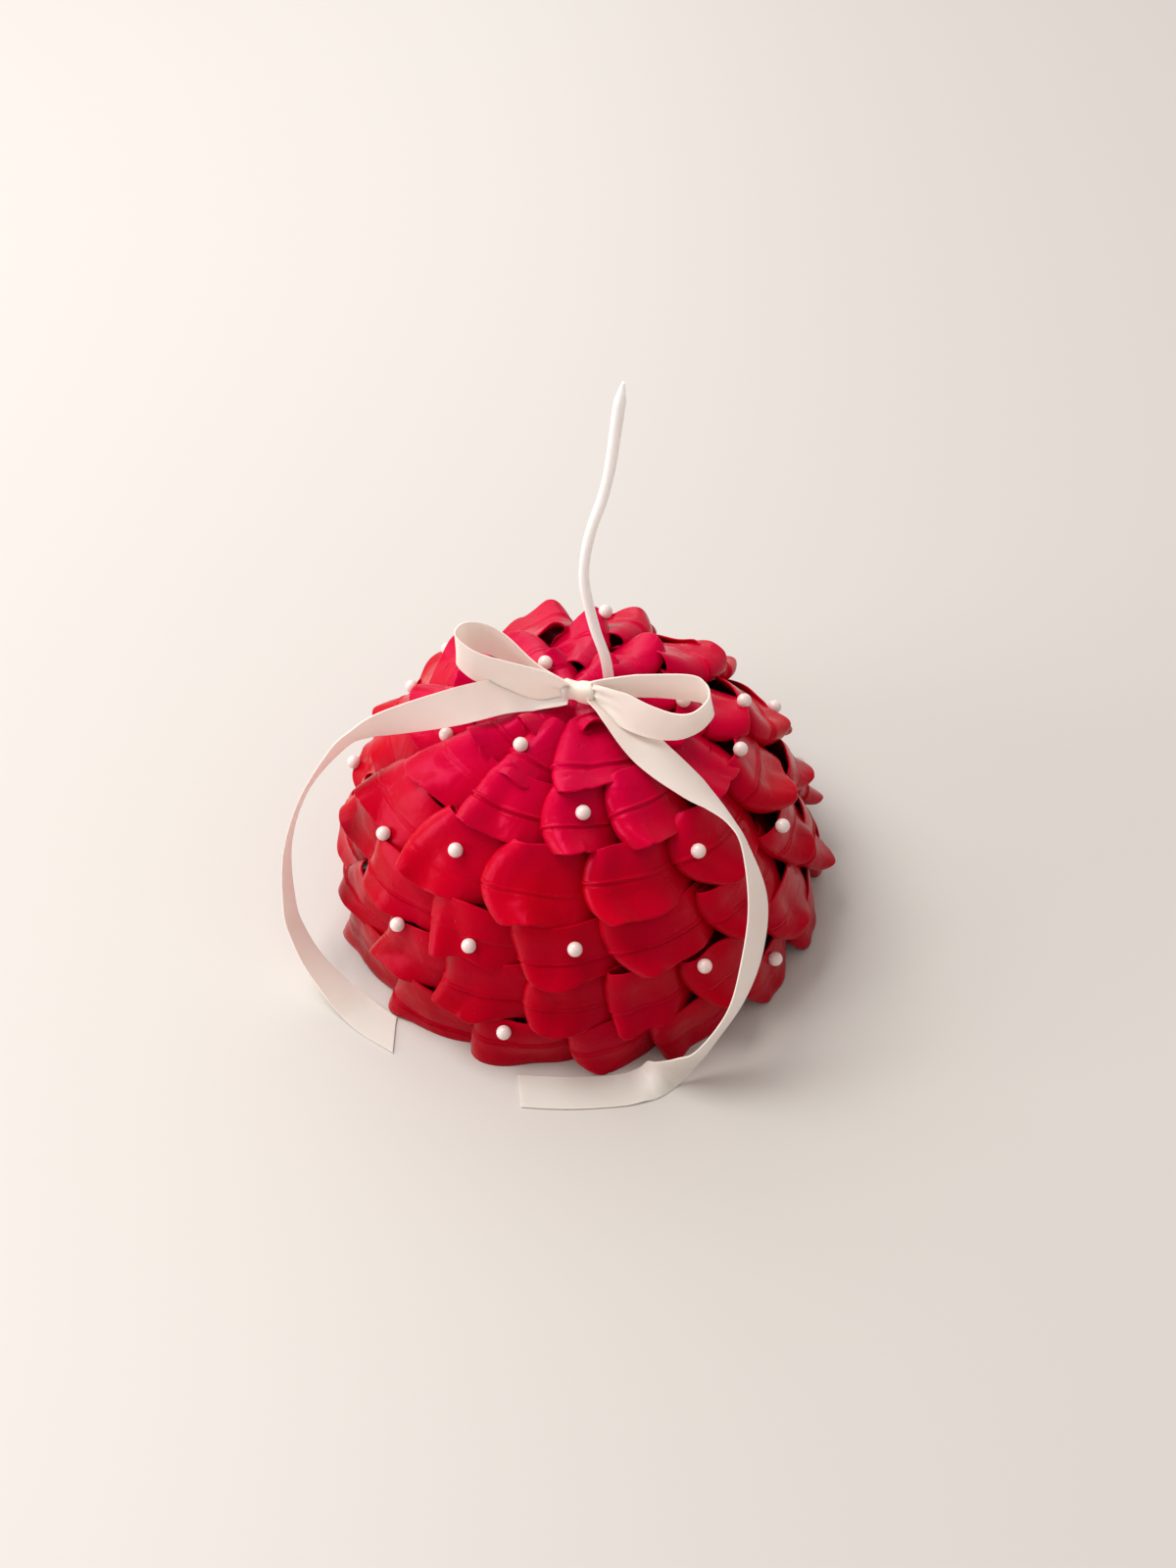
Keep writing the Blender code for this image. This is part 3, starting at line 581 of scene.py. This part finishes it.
for side in range(PEARL_SIDES):
    after = (side + 1) % PEARL_SIDES
    bead_faces.append((after, side, bottom))
    upper = (PEARL_RINGS - 2) * PEARL_SIDES
    bead_faces.append((upper + side, upper + after, top))
pearl_points = []
pearl_faces = []
for angle, along in pearl_places:
    outside = Vector(on_dome(math.radians(angle), along, 0.030))
    inside = Vector(on_dome(math.radians(angle), along, 0.0))
    hit, _, _, _ = skin.ray_cast(outside, inside - outside)
    out = (outside - inside).normalized()
    centre = hit + out * (PEARL_RADIUS - PEARL_SINK)
    first = len(pearl_points)
    pearl_points += [tuple(centre[k] + PEARL_RADIUS * p[k] for k in range(3)) for p in bead]
    pearl_faces += [tuple(first + k for k in face) for face in bead_faces]
pearl_mesh = bpy.data.meshes.new("sugar_pearls")
pearl_mesh.from_pydata(pearl_points, [], pearl_faces)
pearl_mesh.polygons.foreach_set("use_smooth", [True] * len(pearl_mesh.polygons))
pearls = bpy.data.objects.new("sugar_pearls", pearl_mesh)
bpy.context.scene.collection.objects.link(pearls)

pearl_glaze = bpy.data.materials.new("pearl_glaze")
pearl_glaze.use_nodes = True
nodes = pearl_glaze.node_tree.nodes
links = pearl_glaze.node_tree.links
shader = nodes["Principled BSDF"]
shader.inputs["Roughness"].default_value = 0.30
shader.inputs["Coat Weight"].default_value = 0.5
shader.inputs["Coat Roughness"].default_value = 0.2
shader.inputs["Subsurface Weight"].default_value = 0.2
shader.inputs["Subsurface Radius"].default_value = (1.0, 0.6, 0.55)
shader.inputs["Subsurface Scale"].default_value = 0.001
place = nodes.new("ShaderNodeTexCoord")
mottle = nodes.new("ShaderNodeTexNoise")
mottle.inputs["Scale"].default_value = 700.0
links.new(place.outputs["Object"], mottle.inputs["Vector"])
tone = nodes.new("ShaderNodeMix")
tone.data_type = "RGBA"
tone.inputs["A"].default_value = PEARL_DARK
tone.inputs["B"].default_value = PEARL_PALE
links.new(mottle.outputs["Fac"], tone.inputs["Factor"])
links.new(tone.outputs["Result"], shader.inputs["Base Color"])
pearl_mesh.materials.append(pearl_glaze)
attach(pearls, "root")
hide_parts("cake")


# The candle
# A thin party candle of white wax round a cotton wick, drawn out wavy and pushed into the crown.

CANDLE_RADIUS = 0.0015
CANDLE_SIDES = 32
WICK_LENGTH = 0.005
WAX_DARK = (0.92, 0.85, 0.83, 1.0)
WAX_PALE = (0.98, 0.93, 0.91, 1.0)
CANDLE_TRACK = (
    (9.6, 4.0, 50.0), (9.5, 4.0, 66.0), (9.4, 4.0, 75.0), (8.4, 4.0, 84.0), (6.2, 4.0, 93.0),
    (4.5, 4.0, 102.5), (3.6, 4.0, 111.0), (4.3, 4.0, 119.5), (6.2, 4.0, 128.0), (8.7, 4.0, 136.0),
    (10.6, 4.0, 144.5), (11.8, 4.0, 153.0), (12.9, 4.0, 161.5), (14.1, 4.0, 169.0))


def smooth_line(stations, steps):
    """Values along a smooth line through the stations, with so many steps between two."""
    stations = np.asarray(stations, float)
    last = len(stations) - 1
    line = []
    for here in range(last):
        for step in range(steps + (here == last - 1)):
            share = step / steps
            picks = [min(max(here + k, 0), last) for k in (-1, 0, 1, 2)]
            blend = (
                -0.5 * share + share ** 2 - 0.5 * share ** 3,
                1.0 - 2.5 * share ** 2 + 1.5 * share ** 3,
                0.5 * share + 2.0 * share ** 2 - 1.5 * share ** 3,
                -0.5 * share ** 2 + 0.5 * share ** 3,
            )
            line.append(sum(b * stations[k] for b, k in zip(blend, picks)))
    return np.array(line)


track = smooth_line(CANDLE_TRACK, 14)[14:] * 0.001
heading = np.gradient(track, axis=0)
heading /= np.linalg.norm(heading, axis=1, keepdims=True)
run = np.concatenate(([0.0], np.cumsum(np.linalg.norm(np.diff(track, axis=0), axis=1))))
size = CANDLE_RADIUS * (1.0 - 0.10 * np.sin(math.pi * run / run[-1]))
size *= np.clip(0.26 + 0.74 * (run[-1] - run) / WICK_LENGTH, 0.0, 1.0)
size *= 1.0 + 0.02 * np.sin(run / 0.0045) + 0.015 * np.sin(run / 0.0021)
across = np.array([1.0, 0.0, 0.0]) - heading * heading[:, :1]
across /= np.linalg.norm(across, axis=1, keepdims=True)
other = np.cross(heading, across)
turns = np.linspace(0.0, 2.0 * math.pi, CANDLE_SIDES, endpoint=False)
wax_points = (track[:, None, :]
              + across[:, None, :] * (size[:, None] * np.cos(turns))[..., None]
              + other[:, None, :] * (size[:, None] * np.sin(turns))[..., None]).reshape(-1, 3)
wax_faces = []
rings = len(track)
for ring in range(rings - 1):
    for side in range(CANDLE_SIDES):
        after = (side + 1) % CANDLE_SIDES
        wax_faces.append((ring * CANDLE_SIDES + side, ring * CANDLE_SIDES + after,
                          (ring + 1) * CANDLE_SIDES + after, (ring + 1) * CANDLE_SIDES + side))
wax_faces.append(tuple(reversed(range(CANDLE_SIDES))))
wax_faces.append(tuple((rings - 1) * CANDLE_SIDES + side for side in range(CANDLE_SIDES)))
wax_mesh = bpy.data.meshes.new("wavy_candle")
wax_mesh.from_pydata(wax_points.tolist(), [], wax_faces)
wax_mesh.polygons.foreach_set("use_smooth", [True] * (len(wax_faces) - 2) + [False, False])
wavy_candle = bpy.data.objects.new("wavy_candle", wax_mesh)
bpy.context.scene.collection.objects.link(wavy_candle)

candle_wax = bpy.data.materials.new("candle_wax")
candle_wax.use_nodes = True
nodes = candle_wax.node_tree.nodes
links = candle_wax.node_tree.links
shader = nodes["Principled BSDF"]
shader.inputs["Roughness"].default_value = 0.42
shader.inputs["Subsurface Weight"].default_value = 0.8
shader.inputs["Subsurface Radius"].default_value = (1.0, 0.85, 0.80)
shader.inputs["Subsurface Scale"].default_value = 0.004
place = nodes.new("ShaderNodeTexCoord")
cloud = nodes.new("ShaderNodeTexNoise")
cloud.inputs["Scale"].default_value = 160.0
cloud.inputs["Detail"].default_value = 3.0
links.new(place.outputs["Object"], cloud.inputs["Vector"])
tone = nodes.new("ShaderNodeMix")
tone.data_type = "RGBA"
tone.inputs["A"].default_value = WAX_DARK
tone.inputs["B"].default_value = WAX_PALE
links.new(cloud.outputs["Fac"], tone.inputs["Factor"])
links.new(tone.outputs["Result"], shader.inputs["Base Color"])
bump = nodes.new("ShaderNodeBump")
bump.inputs["Strength"].default_value = 0.2
bump.inputs["Distance"].default_value = 0.0003
links.new(cloud.outputs["Fac"], bump.inputs["Height"])
links.new(bump.outputs["Normal"], shader.inputs["Normal"])
wax_mesh.materials.append(candle_wax)
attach(wavy_candle, "root")
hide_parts("candle")


# The satin ribbon
# One length of narrow cream ribbon with woven edges, tied in a bow that sits on the crown. One
# tail runs left in an arch down to the base, the other lies over the front and curls round it.

RIBBON_WIDTH = 0.010
RIBBON_THICKNESS = 0.0003
SATIN_DARK = (0.98, 0.85, 0.72, 1.0)
SATIN_PALE = (1.0, 0.91, 0.81, 1.0)
RIBBON_STEPS = 14
RIBBON_ACROSS = 12
LOOP_PINCH = 0.62
TAIL_SLANT = (0.0034, 0.0010)
LEFT_TAIL = (
    ((-1.5, -5.5, 80.0), (-0.05, 0.85, 0.50)), ((-10.9, -3.6, 78.8), (-0.05, 0.85, 0.50)),
    ((-18.8, -4.7, 79.2), (-0.10, 0.85, 0.50)), ((-26.8, -6.9, 79.2), (-0.18, 0.70, 0.68)),
    ((-34.9, -7.2, 77.1), (-0.28, 0.38, 0.88)), ((-50.6, -4.2, 69.7), (-0.42, -0.13, 0.90)),
    ((-57.9, -3.8, 66.0), (-0.42, -0.50, 0.76)), ((-64.7, -4.6, 61.3), (-0.33, -0.72, 0.61)),
    ((-75.2, -9.8, 49.1), (-0.12, -0.86, 0.50)), ((-81.1, -17.1, 35.1), (-0.08, -0.86, 0.50)),
    ((-81.8, -25.7, 20.6), (-0.18, -0.84, 0.52)), ((-79.8, -30.4, 13.9), (-0.24, -0.82, 0.52)),
    ((-76.1, -35.2, 8.0), (-0.35, -0.81, 0.48)), ((-71.0, -40.1, 3.5), (-0.48, -0.79, 0.37)),
    ((-65.3, -45.6, 1.0), (-0.59, -0.79, 0.10)), ((-59.5, -51.2, 0.4), (-0.56, -0.83, 0.0)),
    ((-53.0, -56.0, 0.4), (-0.52, -0.85, 0.0)),
)
RIGHT_TAIL = (
    ((4.5, -7.0, 80.0), (-0.60, -0.60, 0.35)), ((10.0, -11.1, 77.7), (-0.70, -0.62, 0.35)),
    ((18.7, -22.4, 74.6), (-0.75, -0.65, -0.10)), ((28.8, -31.5, 70.9), (-0.56, -0.81, 0.18)),
    ((34.2, -35.4, 68.3), (-0.36, -0.80, 0.48)), ((39.0, -39.5, 65.2), (-0.20, -0.73, 0.66)),
    ((42.3, -44.2, 61.0), (-0.22, -0.72, 0.65)), ((45.2, -54.0, 50.6), (-0.55, -0.66, 0.51)),
    ((43.6, -62.3, 38.5), (-0.61, -0.61, 0.51)), ((39.3, -68.8, 25.9), (-0.50, -0.69, 0.53)),
    ((31.6, -73.0, 14.1), (-0.50, -0.62, 0.60)), ((26.5, -73.9, 8.8), (-0.62, -0.32, 0.72)),
    ((20.9, -74.6, 4.2), (-0.63, 0.24, 0.70)), ((14.8, -75.4, 1.0), (-0.24, 0.97, 0.08)),
    ((8.2, -76.7, 0.4), (-0.08, 1.0, 0.0)), ((-5.3, -77.0, 0.4), (0.04, 1.0, 0.0)),
    ((-18.5, -75.8, 0.4), (0.17, 0.99, 0.0)),
)
LEFT_LOOP = (
    ((-1.5, -6.5, 81.6), (0.11, -0.08, 0.99)), ((-8.3, -5.2, 82.8), (0.09, 0.08, 0.99)),
    ((-22.8, -1.1, 85.1), (0.12, 0.02, 0.99)), ((-28.4, 2.1, 86.3), (0.06, 0.0, 0.99)),
    ((-30.8, 6.0, 87.2), (0.02, 0.05, 0.99)), ((-28.6, 9.5, 87.3), (0.0, 0.08, 0.99)),
    ((-23.6, 10.2, 86.2), (0.0, 0.06, 0.99)), ((-18.2, 8.0, 84.4), (0.0, -0.02, 0.99)),
    ((-10.2, 1.8, 80.9), (0.0, -0.20, 0.98)), ((-2.0, -4.6, 81.0), (0.0, -0.30, 0.95)),
)
RIGHT_LOOP = (
    ((5.0, -8.0, 81.6), (0.10, 0.05, 0.98)), ((12.6, -14.9, 82.3), (0.07, 0.30, 0.95)),
    ((18.9, -19.4, 82.4), (-0.02, 0.20, 0.98)), ((25.1, -21.8, 82.6), (-0.14, -0.02, 0.99)),
    ((30.2, -21.9, 83.6), (-0.22, -0.25, 0.94)), ((33.7, -19.9, 85.1), (-0.21, -0.33, 0.92)),
    ((35.1, -17.2, 86.1), (-0.15, -0.30, 0.94)), ((33.5, -14.3, 86.7), (-0.04, -0.20, 0.98)),
    ((29.7, -12.0, 86.7), (-0.06, -0.09, 0.99)), ((17.2, -8.4, 84.5), (-0.28, -0.15, 0.95)),
    ((4.8, -6.4, 82.0), (-0.08, -0.05, 0.98)),
)
KNOT_SIZE = (0.0094, 0.0050, 0.0066)
KNOT_CENTRE = (0.0012, -0.0058, 0.0810)
KNOT_TURN = -14.0
KNOT_ROLL = -4.0
KNOT_ROUND = 40
KNOT_LONG = 14
SHARP_ANGLE = 40.0


def ribbon_run(stations, pinch, slant):
    """Points and faces of a run of ribbon, drawn in at the knot and cut aslant at a free end."""
    middle = smooth_line([s[0] for s in stations], RIBBON_STEPS) * 0.001
    lie = smooth_line([s[1] for s in stations], RIBBON_STEPS)
    heading = np.gradient(middle, axis=0)
    heading /= np.linalg.norm(heading, axis=1, keepdims=True)
    across = lie - heading * (lie * heading).sum(axis=1, keepdims=True)
    across /= np.linalg.norm(across, axis=1, keepdims=True)
    face = np.cross(heading, across)
    count = len(middle)
    place = np.arange(count) / RIBBON_STEPS
    near = np.minimum(place, place[::-1]) if pinch == "both" else place
    width = np.minimum(1.0, LOOP_PINCH + 0.38 * near)
    side = np.linspace(-1.0, 1.0, RIBBON_ACROSS + 1)
    half = 0.5 * RIBBON_WIDTH * width[:, None] * side[None, :]
    gather = 0.00035 * (1.0 - width)[:, None] / (1.0 - LOOP_PINCH) * np.cos(side * 9.0)[None, :]
    sheet = middle[:, None, :] + across[:, None, :] * half[..., None]
    sheet = sheet + face[:, None, :] * gather[..., None]
    ends = np.exp(-(place[-1] - place) / 0.35) if pinch != "both" else np.zeros(count)
    sheet = sheet + heading[:, None, :] * (slant * ends[:, None] * side[None, :])[..., None]
    selvage = 0.5 * RIBBON_THICKNESS * (1.0 + 0.25 * (np.abs(side) > 0.86))
    outer = sheet + face[:, None, :] * selvage[None, :, None]
    inner = sheet - face[:, None, :] * selvage[None, :, None]
    lowest = np.minimum(outer[..., 2], inner[..., 2]).min(axis=1)
    lift = np.maximum(0.0, 0.0001 - lowest)
    outer[..., 2] += lift[:, None]
    inner[..., 2] += lift[:, None]
    points = np.concatenate((outer.reshape(-1, 3), inner.reshape(-1, 3)))
    index = np.arange(count * (RIBBON_ACROSS + 1)).reshape(count, -1)
    under = index + index.size
    face_up = (index[:-1, :-1], index[1:, :-1], index[1:, 1:], index[:-1, 1:])
    face_down = (under[:-1, 1:], under[1:, 1:], under[1:, :-1], under[:-1, :-1])
    faces = [np.stack(face_up, axis=-1).reshape(-1, 4), np.stack(face_down, axis=-1).reshape(-1, 4)]
    for line, back, flip in (
            (index[:, 0], under[:, 0], True), (index[:, -1], under[:, -1], False),
            (index[0], under[0], False), (index[-1], under[-1], True)):
        strip = np.stack((line[:-1], line[1:], back[1:], back[:-1]), axis=-1)
        faces.append(strip[:, ::-1] if flip else strip)
    length = float(np.linalg.norm(np.diff(middle, axis=0), axis=1).sum())
    return points, np.concatenate(faces), length


ribbon_points = []
ribbon_faces = []
for stations, pinch, slant in (
        (LEFT_TAIL, "start", TAIL_SLANT[0]), (RIGHT_TAIL, "start", TAIL_SLANT[1]),
        (LEFT_LOOP, "both", 0.0), (RIGHT_LOOP, "both", 0.0)):
    points, faces, length = ribbon_run(stations, pinch, slant)
    ribbon_faces.append(faces + sum(len(p) for p in ribbon_points))
    ribbon_points.append(points)

# The band wrapped round the middle of the bow
wrap = np.linspace(0.0, 2.0 * math.pi, KNOT_ROUND, endpoint=False)
reach = 0.5 * np.sin(np.linspace(-0.5, 0.5, KNOT_LONG) * math.pi)
knot_points = []
for share in reach:
    pinched = 1.0 - 0.12 * math.cos(math.pi * share) - (0.0 if share > 0 else 0.10)
    pinched *= 1.0 - 0.45 * max(0.0, abs(2.0 * share) - 0.72) ** 2 / 0.0784
    for turn in wrap:
        squarish = (abs(math.cos(turn)) ** 3 + abs(math.sin(turn)) ** 3) ** (-1.0 / 3.0)
        crease = 1.0 + 0.03 * math.sin(3.0 * math.pi * share)
        knot_points.append((
            KNOT_SIZE[0] * share,
            0.5 * KNOT_SIZE[1] * pinched * squarish * math.cos(turn) * crease,
            0.5 * KNOT_SIZE[2] * pinched * squarish * math.sin(turn) * crease))
knot_faces = []
for ring in range(KNOT_LONG - 1):
    for side in range(KNOT_ROUND):
        after = (side + 1) % KNOT_ROUND
        knot_faces.append((ring * KNOT_ROUND + side, ring * KNOT_ROUND + after,
                           (ring + 1) * KNOT_ROUND + after, (ring + 1) * KNOT_ROUND + side))
turn = (Matrix.Rotation(math.radians(KNOT_TURN), 4, "Z")
        @ Matrix.Rotation(math.radians(-KNOT_ROLL), 4, "Y"))
knot_points = [tuple(Matrix.Translation(KNOT_CENTRE) @ turn @ Vector(p)) for p in knot_points]
first = sum(len(p) for p in ribbon_points)
all_points = np.concatenate(ribbon_points).tolist() + knot_points
last = first + (KNOT_LONG - 1) * KNOT_ROUND
all_faces = np.concatenate(ribbon_faces).tolist()
all_faces += [tuple(first + k for k in face) for face in knot_faces]
all_faces.append(tuple(first + k for k in range(KNOT_ROUND)))
all_faces.append(tuple(last + k for k in reversed(range(KNOT_ROUND))))
ribbon_mesh = bpy.data.meshes.new("satin_ribbon")
ribbon_mesh.from_pydata(all_points, [], all_faces)
ribbon_mesh.polygons.foreach_set("use_smooth", [True] * len(all_faces))
ribbon_mesh.set_sharp_from_angle(angle=math.radians(SHARP_ANGLE))
satin_ribbon = bpy.data.objects.new("satin_ribbon", ribbon_mesh)
bpy.context.scene.collection.objects.link(satin_ribbon)

satin = bpy.data.materials.new("satin")
satin.use_nodes = True
nodes = satin.node_tree.nodes
links = satin.node_tree.links
shader = nodes["Principled BSDF"]
shader.inputs["Roughness"].default_value = 0.42
shader.inputs["Sheen Weight"].default_value = 0.5
shader.inputs["Sheen Roughness"].default_value = 0.4
shader.inputs["Alpha"].default_value = 0.88
shader.inputs["Subsurface Weight"].default_value = 0.5
shader.inputs["Subsurface Radius"].default_value = (1.0, 0.8, 0.7)
shader.inputs["Subsurface Scale"].default_value = 0.003
place = nodes.new("ShaderNodeTexCoord")
weave = nodes.new("ShaderNodeTexNoise")
weave.inputs["Scale"].default_value = 2400.0
weave.inputs["Detail"].default_value = 2.0
links.new(place.outputs["Object"], weave.inputs["Vector"])
shade = nodes.new("ShaderNodeTexNoise")
shade.inputs["Scale"].default_value = 60.0
links.new(place.outputs["Object"], shade.inputs["Vector"])
tone = nodes.new("ShaderNodeMix")
tone.data_type = "RGBA"
tone.inputs["A"].default_value = SATIN_DARK
tone.inputs["B"].default_value = SATIN_PALE
links.new(shade.outputs["Fac"], tone.inputs["Factor"])
links.new(tone.outputs["Result"], shader.inputs["Base Color"])
bump = nodes.new("ShaderNodeBump")
bump.inputs["Strength"].default_value = 0.15
bump.inputs["Distance"].default_value = 0.0001
links.new(weave.outputs["Fac"], bump.inputs["Height"])
links.new(bump.outputs["Normal"], shader.inputs["Normal"])
ribbon_mesh.materials.append(satin)
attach(satin_ribbon, "root")
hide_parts("ribbon")
